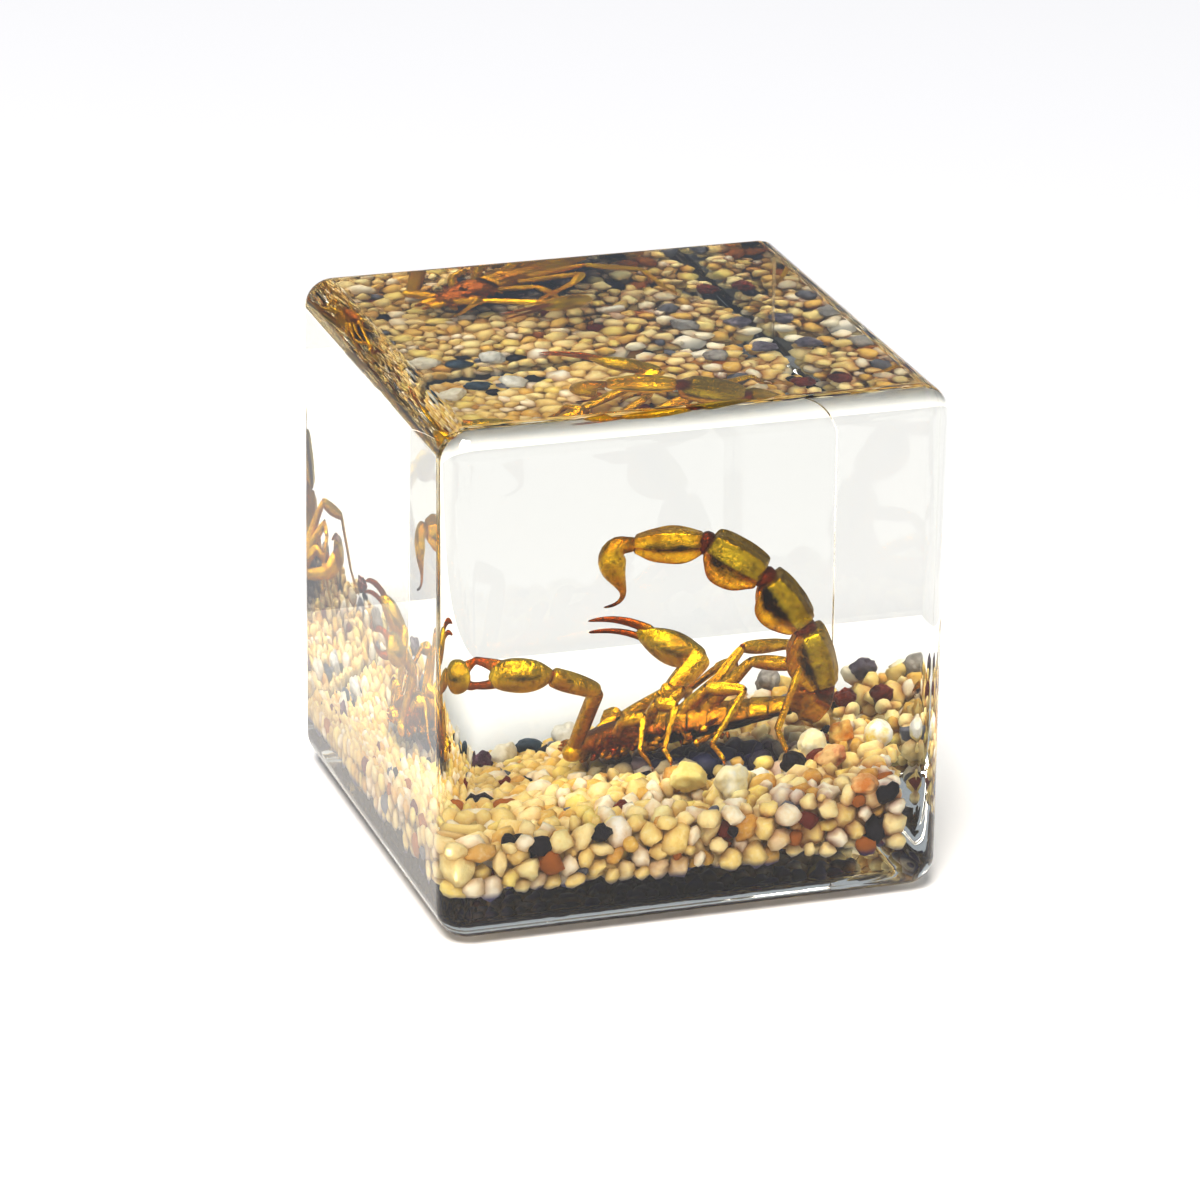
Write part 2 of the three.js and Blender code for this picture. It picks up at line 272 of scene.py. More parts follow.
def slope(x, y):
    """The height of the gravel's surface, for a point or for arrays of them."""
    front = 10.3 + 0.025 * x
    back = np.maximum(5.2, 11.0 - 0.2 * np.maximum(0, 18 - x))
    depth = np.maximum(0, y / (2 * BED_HALF[1]) + 0.5)
    hollow = 0.3 * np.exp(-((x - 3) ** 2) / 120 - (y - 3) ** 2 / 60)
    return front + (back - front) * depth**1.5 - hollow


def settle(place, size, fixed_place, fixed_size):
    """Pushes overlapping stones apart inside the mould, and round what lies fixed, until they sit packed."""
    everything = np.concatenate([place, fixed_place])
    sizes = np.concatenate([size, fixed_size])
    count = len(place)
    for step in range(SETTLE_ROUNDS):
        if step % 12 == 0:
            span = np.sqrt(((everything[:, None] - everything[None]) ** 2).sum(-1))
            one, other = np.nonzero(np.triu(span - sizes[:, None] - sizes[None] < 0.9, 1))
            reach = PACKING * (sizes[one] + sizes[other])
        apart = everything[one] - everything[other]
        distance = np.sqrt((apart**2).sum(-1, keepdims=True)) + 1e-9
        push = apart / distance * np.maximum(0, reach[:, None] - distance) * 0.24
        np.add.at(everything, one, push)
        np.add.at(everything, other, -push)
        everything[count:] = fixed_place
        for axis in (0, 1):
            wall = BED_HALF[axis] - 0.92 * size
            inset = FRONT_RIGHT_GAP * np.clip((-9 - everything[:count, 1]) / 6, 0, 1) if axis == 0 else 0
            everything[:count, axis] = np.clip(everything[:count, axis], -wall, wall - inset)
        top = slope(everything[:count, 0], everything[:count, 1]) + 0.35 - 0.8 * size
        floor = BED_FLOOR + 0.85 * size
        everything[:count, 2] = np.clip(everything[:count, 2], floor, np.maximum(top, floor))
    return everything[:count]


def join(whole, made):
    """Moves a made mesh, with its attributes, into the whole."""
    carrier = bpy.data.meshes.new("carrier")
    made.to_mesh(carrier)
    made.free()
    whole.from_mesh(carrier)
    bpy.data.meshes.remove(carrier)


def add_stone(bm, centre, half, turn, key, lumps=0.23, detail=2):
    """One water-worn stone: a ball pulled out of round by low lumps, its own for each key."""
    verts = bmesh.ops.create_icosphere(bm, subdivisions=detail, radius=1)["verts"]
    for vert in verts:
        spot = vert.co + Vector((key * 7.3, key * 3.1, 0))
        vert.co *= 1 + lumps * 2 * (noise.noise(spot * 1.1) + 0.4 * noise.noise(spot * 2.7))
    shape = Matrix.Translation(centre) @ Euler(turn).to_matrix().to_4x4() @ Matrix.Diagonal((*half, 1))
    bmesh.ops.transform(bm, matrix=shape, verts=verts)
    return verts


# Name, place on the gravel, half sizes and turn of the single stones on top, as in the part.
TOP_STONES = {
    "pebble_egg": ((22.6, -6.2), (1.5, 1.7, 1.5), 0),
    "pebble_oxblood": ((23.0, 11.0), (1.1, 1.2, 1.0), 0),
    "pebble_blue_black": ((-7.2, 22.4), (1.5, 1.0, 0.9), 0.1),
    "pebble_pale_grey": ((-3.6, 22.0), (1.5, 1.4, 1.3), 1.2),
    "pebble_plum": ((-12.9, 18.9), (1.1, 1.0, 1.0), 0.5),
    "pebble_cream_round": ((16.0, -5.6), (1.5, 1.5, 1.4), 0),
    "pebble_black": ((12.9, -11.0), (1.4, 1.1, 1.0), 0.4),
    "pebble_rust": ((16.5, -11.4), (1.6, 1.2, 1.1), 2.5),
    "pebble_orange": ((17.4, -23.2), (1.5, 1.0, 1.0), 0.1),
    "pebble_cream_large": ((5.5, -15.8), (1.8, 1.7, 1.4), 1.0),
    "pebble_butter": ((2.2, -10.4), (1.8, 1.5, 1.3), 0.2),
    "pebble_milk": ((-10.4, 21.0), (1.5, 1.4, 1.2), 0.9),
    "pebble_slate": ((22.6, 21.8), (1.3, 1.2, 1.1), 0.2),
    "pebble_grey": ((17.1, 20.8), (1.5, 1.3, 1.2), 0.6),
    "pebble_amber": ((19.5, -3.2), (1.4, 1.3, 1.2), 1.7),
}


def pebble_centre(x, y, half):
    return Vector((x, y, float(slope(x, y)) + 0.55 * half[2]))


# The stones settle round the single stones, the scorpion's body and the root of its tail.
TRUNK_LINE = [Vector((14.6, -2.2, 14.5)), Vector((1.4, 3.8, 12.3)), Vector((-4.8, 6.7, 10.5))]
obstacles = [(pebble_centre(*spot, half), sum(half) / 3) for spot, half, turn in TOP_STONES.values()]
obstacles += [(TRUNK_LINE[0].lerp(TRUNK_LINE[1], n / 8), 2.1) for n in range(9)]
obstacles += [(TRUNK_LINE[1].lerp(TRUNK_LINE[2], n / 4), 2.0) for n in range(1, 5)]
obstacles += [(Vector((16.0, -3.4, 15.4)), 2.2)]

stone_size = np.clip(seed.normal(0.93, 0.2, STONE_COUNT), 0.55, 1.45)
start = seed.uniform((-24, -24.7, 0), (24, 24.7, 1), (STONE_COUNT, 3))
start[:, 2] = BED_FLOOR + start[:, 2] * (slope(start[:, 0], start[:, 1]) - BED_FLOOR)
fixed_place = np.array([list(place) for place, _ in obstacles])
fixed_size = np.array([radius for _, radius in obstacles])
settled = settle(start, stone_size, fixed_place, fixed_size)


def shadow(place):
    """How deep a point lies in the painted shadow under the body, from 0 to 1."""
    along = min(1, max(0, (14.0 - place.x) / 18.0))
    middle = -0.6 + 6.8 * along
    return math.exp(-(((place.y - middle) / 5.0) ** 4) - ((place.x - 6.0) / 10.5) ** 6)


# Stones that stand out at the front wall: how far along it and up it, and their place in the tones below. The
# nearest stone takes the tone, and a small one before a large one.
WALL_STONES = [
    (-14.9, 10.1, 0.99), (3.6, 7.5, 0.99), (4.9, 7.3, 0.99), (12.2, 7.4, 0.96), (10.6, 9.1, 0.96),
    (19.9, 13.3, 0.99), (18.8, 8.5, 0.4), (-7.3, 14.3, 0.94), (-10.7, 15.0, 0.99), (16.6, 11.0, 0.86),
    (0.6, 5.7, 0.4), (15.6, 11.6, 0.94),
]
FRONT_ROW = -24.2
tones = seed.uniform(size=STONE_COUNT)
for x, z, tone in WALL_STONES:
    away = np.hypot(settled[:, 0] - x, settled[:, 2] - z)
    behind = np.abs(settled[:, 1] - FRONT_ROW)
    tones[np.argmin(away + 0.7 * behind + 1.8 * stone_size)] = tone

# Each stone carries its tone, how deep it lies in the painted shadow under the body, and how near its
# neighbours are, for painted shade where stones touch.
LAYERS = ("tone", "stain", "nook")
CREVICE_SHADE_REACH = 0.8
NEIGHBOUR_REACH = 3.2
gravel = bmesh.new()
for key, (centre, size) in enumerate(zip(settled, stone_size)):
    grain = bmesh.new()
    layers = [grain.verts.layers.float.new(name) for name in LAYERS]
    stretch = seed.uniform(0.72, 1.34, 3)
    turn = seed.uniform(0, 2 * math.pi, 3)
    verts = add_stone(grain, Vector(centre), stretch * size, turn, key)
    close = np.flatnonzero(np.abs(settled - centre).max(1) < NEIGHBOUR_REACH)
    close = close[close != key]
    points = np.array([vert.co for vert in verts])
    gaps = np.linalg.norm(points[:, None] - settled[close], axis=2) - stone_size[close]
    for vert, gap in zip(verts, gaps.min(axis=1, initial=NEIGHBOUR_REACH)):
        for axis, wall in enumerate(BED_WALL):
            vert.co[axis] = min(wall, max(-wall, vert.co[axis]))
        # Painted crevice shade: stronger the nearer a neighbour stone is.
        nook = min(1, max(0, 1 - gap / CREVICE_SHADE_REACH))
        for layer, value in zip(layers, (tones[key], shadow(vert.co), nook)):
            vert[layer] = value
    join(gravel, grain)

# The tones that stones take by chance, each up to the next one's position, with the dark ones last.
DARK_FROM = 0.93
STONE_TONES = [
    (0.00, "ffecb0"), (0.18, "fae294"), (0.32, "fff6de"), (0.45, "f7df94"), (0.58, "ecc260"),
    (0.68, "fce888"), (0.77, "fff2b4"), (0.85, "e2ac50"), (0.88, "ecd2a8"), (0.91, "f8f2e4"),
    (DARK_FROM, "a8621e"), (0.955, "6e2412"), (0.968, "70707a"), (0.984, "18141f"),
]
gravel_stone = Finish("gravel_stone", {"Roughness": 0.45, "Specular IOR Level": 0.12})
tone, stain, nook = [gravel_stone.layer(name) for name in LAYERS]
spot = {"Vector": gravel_stone.place()}
across, height = [gravel_stone.node("SeparateXYZ", {}, spot, axis) for axis in "XZ"]
stops = [(position, colour(code)) for position, code in STONE_TONES]
quartz = gravel_stone.node("ValToRGB", {"ease": "CONSTANT", "stops": stops}, {"Fac": tone}, "Color")

# The pale stones have tan veins and milky clouds, and painted shade makes them duller at the left.
pale = tone.maths("LESS_THAN", DARK_FROM)
veins = gravel_stone.steps(gravel_stone.grain(1.3, 4, 0.6), 0.45, 0.75)
clouds = gravel_stone.steps(gravel_stone.grain(0.5), 0.5, 0.8)
left_shade = 1 - gravel_stone.steps(across, -20 * MM, -6 * MM)
quartz = gravel_stone.mix(veins * pale * 0.55, quartz, colour("eac464"))
quartz = gravel_stone.mix(clouds * pale * 0.35, quartz, colour("fffae0"))
quartz = gravel_stone.mix(left_shade * pale * 0.25, quartz, colour("d6be8c"))

# Painted shade where they touch: the stones turn amber there, browner at the right and low down.
right = gravel_stone.steps(across, -6 * MM, 14 * MM)
low = 1 - gravel_stone.steps(height, 5.5 * MM, 9.5 * MM)
crevice_shade_tone = gravel_stone.mix(right, colour("cc9234"), colour("a04c06"))
crevice_shade_tone = gravel_stone.mix(low * 0.6, crevice_shade_tone, colour("581c0c"))
quartz = gravel_stone.mix(nook * (right * 0.3 + low * 0.25 + 0.45) * pale, quartz, crevice_shade_tone)

# Painted shadow: the stones under the body are painted dark navy, and painted shade turns the undersides of
# the lowest ones blue.
quartz = gravel_stone.mix(stain * 0.98, quartz, colour("040a48"))
lowest_shade = 1 - gravel_stone.steps(height, 4.3 * MM, 5.0 * MM)
gravel_stone.paint("Base Color", gravel_stone.mix(lowest_shade * 0.9, quartz, colour("0b1566")))
gravel_stone.bump(gravel_stone.grain(0.35, 4), 0.12, 0.6)
add_piece("gravel_stones", gravel, gravel_stone, "gravel", "gravel_bed")

# Single stones on top
#
# Fifteen stones that lie on the gravel and show most: an egg-white one with a yolk-coloured spot, black and
# blue-black ones, dark red ones with broken faces, and cream, butter, rust, amber and grey ones.
# Each has its slot, the two colours that mottle it, and how lumpy it is.
PEBBLE_LOOKS = {
    "pebble_egg": ("pale_stone", "fbf8ee", "f1d64a", 0.1),
    "pebble_oxblood": ("red_stone", "4a1813", "7d3322", 0.28),
    "pebble_blue_black": ("dark_stone", "1d2c3c", "44586a", 0.1),
    "pebble_pale_grey": ("grey_stone", "c9c6be", "e4e2dc", 0.16),
    "pebble_plum": ("red_stone", "4d3345", "7a5468", 0.26),
    "pebble_cream_round": ("pale_stone", "fff2c0", "fffbe6", 0.1),
    "pebble_black": ("dark_stone", "1a1520", "3c2b28", 0.14),
    "pebble_rust": ("orange_stone", "c05a26", "f0c98c", 0.24),
    "pebble_orange": ("orange_stone", "dd8c3c", "f4c98a", 0.14),
    "pebble_cream_large": ("pale_stone", "fff4c8", "fffcec", 0.2),
    "pebble_butter": ("pale_stone", "fff2a8", "fbe48c", 0.2),
    "pebble_milk": ("pale_stone", "efe9da", "d9cfb8", 0.16),
    "pebble_slate": ("grey_stone", "5f5866", "8f8792", 0.22),
    "pebble_grey": ("grey_stone", "8b8684", "b5b0aa", 0.18),
    "pebble_amber": ("orange_stone", "e08c1c", "f6d078", 0.16),
}

for key, (name, (spot, half, turn)) in enumerate(TOP_STONES.items()):
    slot, dark, light, lumps = PEBBLE_LOOKS[name]
    piece = name.replace("pebble", "stone")
    stone = bmesh.new()
    add_stone(stone, pebble_centre(*spot, half), half, (0.2 * key, 0.3, turn), key + 900, lumps, 4)
    look = Finish(piece, {"Roughness": 0.4, "Specular IOR Level": 0.15})
    patch = look.steps(look.grain(2.2, 5, 0.6), 0.42, 0.62)
    look.paint("Base Color", look.mix(patch, colour(dark), colour(light)))
    look.bump(look.grain(0.4, 5), 0.15, 0.7)
    add_piece(piece, stone, look, slot, name)

# Scorpion
#
# A dried yellow desert scorpion, its jointed horny shell a glossy olive gold with brown joints, red-brown
# fingers and a black sting. It lies on the gravel facing left, one pincer held low and one high, its tail
# arched over its back.
UP = Vector((0, 0, 1))
SIDEWAYS = Vector((1, 0, 0))
body = bmesh.new()


def round_section(count):
    """A circle of that many points."""
    turns = [n * math.tau / count for n in range(count)]
    return [(math.sin(turn), math.cos(turn)) for turn in turns]


def both_sides(half):
    """A closed section from the points down its right side, top and bottom point included."""
    return half + [(-x, y) for x, y in reversed(half[1:-1])]


def loft(stations, section, tint, upright=UP):
    """Grows a closed skin ring by ring. A station is its centre, its half width, and how far it
    reaches towards upright and away from it. Tint is one of those below, or works one out."""
    skin = bmesh.new()
    tint_layer = skin.verts.layers.float_color.new("tint")
    centres = [Vector(centre) for centre, *_ in stations]
    ring = bmesh.ops.create_circle(skin, cap_ends=True, segments=len(section), radius=1)["verts"]
    edges = list({edge for vert in ring for edge in vert.link_edges})
    last = len(stations) - 1
    for n, (_, across, over, under) in enumerate(stations):
        if n:
            grown = bmesh.ops.extrude_edge_only(skin, edges=edges)["geom"]
            edges = [item for item in grown if isinstance(item, bmesh.types.BMEdge)]
            fresh = {item for item in grown if isinstance(item, bmesh.types.BMVert)}
            ring = [next(e.other_vert(v) for e in v.link_edges if e.other_vert(v) in fresh) for v in ring]
        along = (centres[min(n + 1, last)] - centres[max(n - 1, 0)]).normalized()
        side = along.cross(upright).normalized()
        rise = side.cross(along)
        for vert, (x, y) in zip(ring, section):
            vert.co = centres[n] + side * (x * across) + rise * (y * (over if y > 0 else under))
            shade = tint(n / last, x, y) if callable(tint) else tint
            vert[tint_layer] = (*shade, 1)
    bmesh.ops.contextual_create(skin, geom=edges)
    bmesh.ops.recalc_face_normals(skin, faces=skin.faces)
    join(body, skin)


def straight(start, end, rows, size=1.0, reach=0.0):
    """Stations on a straight line. A row is how far along, half width, and reach up and down."""
    start, end = Vector(start), Vector(end)
    along = (end - start).normalized()
    start, end = start - along * reach, end + along * reach
    return [(start.lerp(end, t), a * size, b * size, c * size) for t, a, b, c in rows]


def tube(points, section, tint, upright=UP):
    """Stations of even radius along a bent line of points and radii."""
    loft([(point, r, r, r) for point, r in points], section, tint, upright)


def lobe(centre, half, across, tint):
    """A smooth swelling: half is the vector to its far end, and across its half width."""
    centre, half = Vector(centre), Vector(half)
    rows = [(-1, 0.15), (-0.82, 0.58), (-0.45, 0.9), (0, 1), (0.45, 0.88), (0.82, 0.55), (1, 0.15)]
    tube([(centre + half * t, across * r) for t, r in rows], ROUND, tint)


ROUND = round_section(12)
SMALL_ROUND = round_section(8)

# Tints: how red-brown, olive and dark the golden shell is. Part of the red-brown and dark tint is painted
# shade, on the belly, the leg undersides and one side of the near upper arm.
AMBER = (0.3, 0.0, 0.0)
GOLD = (0.0, 0.0, 0.0)
JOINT = (1.0, 0.0, 0.4)
DARK_RED = (1.0, 0.0, 0.3)
FINGER = (0.85, 0.0, 0.1)

# Body: seven overlapping back plates over a soft side wall and belly plates, then the head shield.
REAR, WAIST, BROW = TRUNK_LINE
BELLY_SECTION = both_sides([
    (0, 1.04), (0.07, 0.98), (0.28, 0.96), (0.4, 0.95), (0.46, 0.87), (0.72, 0.68), (0.92, 0.36), (1.02, 0.1),
    (0.96, 0.0), (0.84, -0.14), (0.94, -0.34), (0.82, -0.66), (0.5, -0.9), (0, -0.95),
])
BODY_HALF = 2.85
PLATE_WIDTHS = [0.52, 0.7, 0.85, 0.95, 1.02, 1.02, 0.94]
PLATE_SWELL = [(0.02, 0.84), (0.09, 0.88), (0.5, 0.95), (0.8, 1.0), (0.93, 1.02), (0.985, 0.96)]
PLATES = len(PLATE_WIDTHS)
plate_rows = []
for n, width in enumerate(PLATE_WIDTHS):
    belly = 0.44 + 0.03 * n
    for t, swell in PLATE_SWELL:
        reach = (0.3 + 0.38 * width) * swell
        plate_rows.append(((n + t) / PLATES, width * swell, reach, width * swell * belly))


# Plate edges and the lower flank are darker and redder; the belly is painted near black as painted shade.
def body_tint(t, x, y):
    edge = abs(math.sin(t * PLATES * math.pi)) < 0.3
    if y < -0.05:
        return (0.9, 0, 1)
    side = y < 0.45
    return (0.2 + 0.5 * edge + (0.15 + 0.45 * t) * side, 0.1, 0.35 * edge + (0.05 + 0.25 * t) * side)


loft(straight(REAR, WAIST, plate_rows, BODY_HALF), BELLY_SECTION, body_tint)

SHIELD_HALF = 2.75
SHIELD_SECTION = both_sides([
    (0, 0.9), (0.12, 0.92), (0.22, 1.0), (0.3, 0.97), (0.6, 0.85), (0.85, 0.55), (1.0, 0.1), (0.9, -0.05),
    (0.85, -0.4), (0.5, -0.85), (0, -0.9),
])
SHIELD_ROWS = [
    (0, 0.8, 0.5, 0.4), (0.04, 0.96, 0.62, 0.5), (0.3, 1.0, 0.68, 0.55), (0.6, 0.86, 0.66, 0.5),
    (0.82, 0.74, 0.58, 0.45), (0.97, 0.66, 0.44, 0.4), (1.0, 0.55, 0.3, 0.25),
]
loft(straight(WAIST, BROW, SHIELD_ROWS, SHIELD_HALF), SHIELD_SECTION, (0.85, 0, 0.3))

# Hip plates, lobes and breathing plates that crowd the underside and the near flank.
ACROSS = Vector((0.42, 0.9, 0.05))
LARGE_LOBES = [
    ((4.9, 1.0, 11.75), (0.95, -0.1, 0.8), 0.62, GOLD), ((6.9, 0.4, 12.0), (0.75, -0.1, 0.5), 0.5, AMBER),
    ((1.3, 2.0, 10.95), (1.0, -0.2, 0.35), 0.55, AMBER),
    ((-1.3, 3.7, 10.3), (0.55, -0.1, 0.5), 0.5, (0.55, 0, 0.2)),
    ((2.9, 1.9, 11.5), (0.7, -0.3, -0.2), 0.42, (0.6, 0, 0)),
    ((6.1, 1.0, 13.9), (1.2, -0.5, 0.2), 0.75, (0.42, 0, 0)),
]
SMALL_LOBES = 54
for side in (-1, 1):
    for n in range(7):
        root = WAIST.lerp(BROW, 0.02 + n * 0.15) - UP * (0.75 + 0.1 * (n % 2))
        out = ACROSS * side
        shade = DARK_RED if n % 2 else AMBER
        lobe(root + out * 1.75, out * 0.95 + Vector((-0.25, 0, -0.28)), 0.46, shade)
        above = root + out * 1.95 + UP * 0.95
        lobe(above, out * 0.4 + Vector((0.25, 0, 0.6)), 0.34, (0.75, 0, 0.1 * (n % 3)))
for large in LARGE_LOBES:
    lobe(*large)
for n in range(5):
    lobe((8.4 + 1.35 * n, 0.35 - 0.6 * n, 14.3 + 0.22 * n), (0.62, -0.25, 0.55), 0.45, (0.4, 0.05, 0.0))
for n in range(SMALL_LOBES):
    t = seed.uniform(0, 1)
    root = REAR.lerp(WAIST, 0.4).lerp(BROW, t) - ACROSS * seed.uniform(2.3, 2.75) * (1 - 0.22 * t)
    reach = Vector(seed.uniform((-0.7, -0.2, -0.4), (0.2, 0.2, 0.6)))
    shade = (AMBER, DARK_RED, (0.6, 0, 0.1))[n % 3]
    lobe(root + UP * seed.uniform(-1.3, 0.7), reach, seed.uniform(0.24, 0.42), shade)

# Legs: a hip ring, thigh, knee piece, shin and a foot with two claws and a spur. Each line is a leg's hip,
# knee, shin, ankle and foot, for the near legs from the front and then for the far ones.
LEGS = [
    [(-2.2, 3.9, 11.4), (-1.9, 2.0, 13.8), (-0.1, 0.6, 14.4), (-0.7, -1.0, 11.5), (0.3, -1.7, 9.9)],
    [(0.1, 3.2, 11.9), (1.3, 1.0, 15.6), (3.0, -0.4, 15.5), (1.5, -2.0, 11.7), (2.1, -2.7, 10.4)],
    [(2.6, 2.6, 12.4), (6.2, 0.0, 16.9), (9.6, -2.0, 16.8), (6.0, -4.0, 12.1), (7.0, -4.7, 10.6)],
    [(4.6, 1.6, 12.6), (10.3, -1.8, 19.7), (14.5, -5.6, 19.7), (12.1, -6.5, 13.4), (12.9, -7.2, 11.5)],
    [(-1.6, 6.4, 11.0), (-0.9, 8.4, 13.0), (-2.0, 9.8, 12.6), (-3.0, 9.8, 10.2), (-3.9, 9.9, 9.1)],
    [(1.6, 5.6, 12.0), (5.4, 8.0, 14.9), (6.6, 10.2, 14.2), (6.6, 11.6, 11.6), (6.9, 12.4, 10.4)],
    [(3.6, 4.4, 12.6), (10.6, 7.0, 17.2), (9.2, 9.0, 16.6), (5.2, 10.5, 13.2), (4.3, 11.2, 11.4)],
    [(5.4, 3.4, 13.0), (11.1, 6.0, 19.2), (16.6, 8.5, 18.4), (18.4, 10.4, 13.2), (19.4, 11.2, 11.7)],
]
LEG_SECTION = both_sides([
    (0, 1.0), (0.16, 1.02), (0.34, 0.78), (0.82, 0.5), (0.98, 0.2), (0.8, -0.1), (0.86, -0.5), (0.45, -0.82),
    (0.2, -1.02), (0, -0.94),
])
THIGH = [
    (0, 0.35, 0.42, 0.42), (0.05, 0.62, 0.75, 0.72), (0.18, 0.84, 1.0, 1.0), (0.42, 0.95, 1.15, 1.15),
    (0.7, 0.85, 1.02, 1.0), (0.9, 0.72, 0.84, 0.82), (0.965, 0.66, 0.76, 0.74), (1, 0.35, 0.42, 0.4),
]
SHIN = [
    (0, 0.45, 0.5, 0.5), (0.04, 0.85, 0.9, 0.9), (0.15, 0.95, 1.02, 1.0), (0.4, 0.82, 0.86, 0.86),
    (0.86, 0.68, 0.72, 0.74), (0.96, 0.8, 0.82, 0.85), (1, 0.45, 0.5, 0.5),
]


# The leg ends are red-brown at the joints; the undersides are painted redder and darker as painted shade.
def leg_tint(t, x, y):
    ends = t < 0.08 or t > 0.92
    return (0.7 * ends + 0.55 * (y < -0.3), 0.15, 0.25 * (y < -0.6))


def column(foot, rows, section, tint):
    """A tube that stands upright. A row is how far above the foot it is, and its radius."""
    tube([(foot + UP * lift, radius) for lift, radius in rows], section, tint, SIDEWAYS)


def knuckle(joint, size, tint=JOINT):
    """The soft skin of a joint, as a small ball."""
    rows = [(-1, 0.4), (-0.5, 0.9), (0.5, 0.9), (1, 0.4)]
    column(joint, [(size * lift, size * radius) for lift, radius in rows], SMALL_ROUND, tint)


for points in LEGS:
    hip, knee, shin, ankle, foot = [Vector(point) for point in points]
    outwards = (knee - hip).cross(UP).cross(UP) * -1
    loft(straight(hip, knee, THIGH, 0.72, 0.2), LEG_SECTION, leg_tint)
    loft(straight(knee, shin, THIGH, 0.7, 0.22), LEG_SECTION, leg_tint)
    loft(straight(shin, ankle, SHIN, 0.46, 0.18), LEG_SECTION, leg_tint, outwards)
    loft(straight(ankle, foot, SHIN, 0.34, 0.1), LEG_SECTION, (0.25, 0, 0), outwards)
    for joint, size in ((hip, 0.62), (knee, 0.46), (shin, 0.4), (ankle, 0.32)):
        knuckle(joint, size)
    ahead = (foot - ankle).normalized()
    across = ahead.cross(UP).normalized()
    for side in (-1, 1):
        bend = foot + across * (0.22 * side) + ahead * 0.3
        tip = foot + across * (0.35 * side) + ahead * 0.5 - UP * 0.25
        tube([(foot, 0.16), (bend, 0.11), (tip, 0.03)], SMALL_ROUND, FINGER)
    spur = ankle + across * 0.2 + ahead * 0.35 - UP * 0.15
    tube([(ankle, 0.14), (spur, 0.03)], SMALL_ROUND, FINGER)

# Tail: five ringed segments, flat and olive outside, with a hollow flank and a scalloped golden crest inside.
# Each line is a segment's start, end and half width. Its flat side faces away from the middle of the arch.
TAIL = [
    ((15.2, -2.5, 14.3), (17.0, -4.2, 16.9), 2.1),
    ((17.0, -4.3, 17.0), (14.9, -5.0, 23.2), 2.2),
    ((14.6, -5.0, 23.6), (10.9, -4.7, 28.6), 2.2),
    ((10.6, -4.6, 29.0), (5.4, -3.0, 32.3), 2.25),
    ((5.1, -2.8, 32.5), (-1.6, -0.9, 32.7), 1.95),
]
TAIL_SECTION = both_sides([
    (0, 0.93), (0.34, 0.94), (0.4, 1.01), (0.46, 0.94), (0.76, 0.9), (0.86, 0.88), (0.94, 0.8), (0.9, 0.7),
    (0.95, 0.35), (1.03, 0.06), (1.04, -0.04), (0.84, -0.12), (0.72, -0.36), (0.7, -0.55), (0.76, -0.74),
    (0.72, -0.92), (0.6, -1.02), (0.46, -0.92), (0.24, -0.62), (0, -0.55),
])
SEGMENT_RINGS = [
    (0, 0.46, 0.5, 0.36), (0.015, 0.62, 0.68, 0.46), (0.03, 0.84, 0.84, 0.52), (0.1, 0.92, 0.91, 0.66),
    (0.22, 0.97, 0.97, 0.92), (0.36, 1.0, 1.02, 1.12), (0.52, 1.01, 1.04, 1.22), (0.68, 1.0, 1.02, 1.18),
    (0.8, 0.98, 0.98, 1.0), (0.88, 0.95, 0.95, 0.76), (0.93, 0.94, 0.92, 0.58), (0.97, 0.9, 0.87, 0.5),
    (0.985, 0.66, 0.7, 0.42), (1, 0.4, 0.42, 0.3),
]
LAST_RINGS = [
    (0, 0.4, 0.4, 0.34), (0.02, 0.6, 0.6, 0.45), (0.05, 0.7, 0.68, 0.52), (0.15, 0.82, 0.76, 0.74),
    (0.3, 0.92, 0.88, 0.92), (0.46, 0.95, 0.93, 0.95), (0.62, 0.9, 0.88, 0.9), (0.78, 0.76, 0.72, 0.74),
    (0.9, 0.6, 0.56, 0.56), (0.97, 0.52, 0.5, 0.46), (0.99, 0.4, 0.4, 0.36), (1, 0.26, 0.26, 0.24),
]
ARCH_CENTRE = Vector((4.5, -2.5, 22.5))


def tail_tint(middle, length, width, depth):
    """The tint of one tail segment, whose flank has a dark patch of its own place, size and depth."""

    def tint(t, x, y):
        rim = t < 0.05 or t > 0.95
        wedge = math.exp(-(((t - middle) / length) ** 2) - ((y + 0.2) / width) ** 2) * (abs(x) > 0.5)
        strip = y > 0.82 or y < -0.9
        blush = 0.45 * math.exp(-(((t - middle - 0.25) / 0.22) ** 2)) * (y < -0.3)
        ruddy = 0.55 * rim + 0.3 * strip + 0.1 * (y < -0.1) + blush
        return (ruddy, 0.95 * (y > -0.08), min(1, depth * wedge))

    return tint


def last_tint(t, x, y):
    wedge = math.exp(-(((t - 0.45) / 0.24) ** 2) - ((y - 0.05) / 0.3) ** 2) * (abs(x) > 0.5)
    return (0.55 * (t < 0.06 or t > 0.9) + 0.2 * (y < -0.5), 0.0, min(1, 1.7 * wedge))


def first_tint(t, x, y):
    return (0.4 + 0.45 * (t > 0.62) + 0.2 * (abs(x) < 0.3), 0.1, 0.6 * (t > 0.8))


TAIL_TINTS = [
    first_tint, tail_tint(0.48, 0.36, 0.2, 1.3), tail_tint(0.62, 0.24, 0.34, 1.7),
    tail_tint(0.52, 0.2, 0.28, 1.15), last_tint,
]
for (start, end, radius), tint in zip(TAIL, TAIL_TINTS):
    outwards = (Vector(start) + Vector(end)) / 2 - ARCH_CENTRE
    rings = LAST_RINGS if tint is last_tint else SEGMENT_RINGS
    loft(straight(start, end, rings, radius), TAIL_SECTION, tint, outwards)

# Joint skin bridges the gaps between the segments.
for (_, before, size), (after, _, _) in zip(TAIL, TAIL[1:]):
    before, after = Vector(before), Vector(after)
    ahead = (after - before).normalized()
    middle = before.lerp(after, 0.5)
    middle += (middle - ARCH_CENTRE).normalized() * 0.25
    neck = [(middle - ahead * 0.9, size * 0.5), (middle, size * 0.6), (middle + ahead * 0.9, size * 0.5)]
    tube(neck, ROUND, JOINT, middle - ARCH_CENTRE)

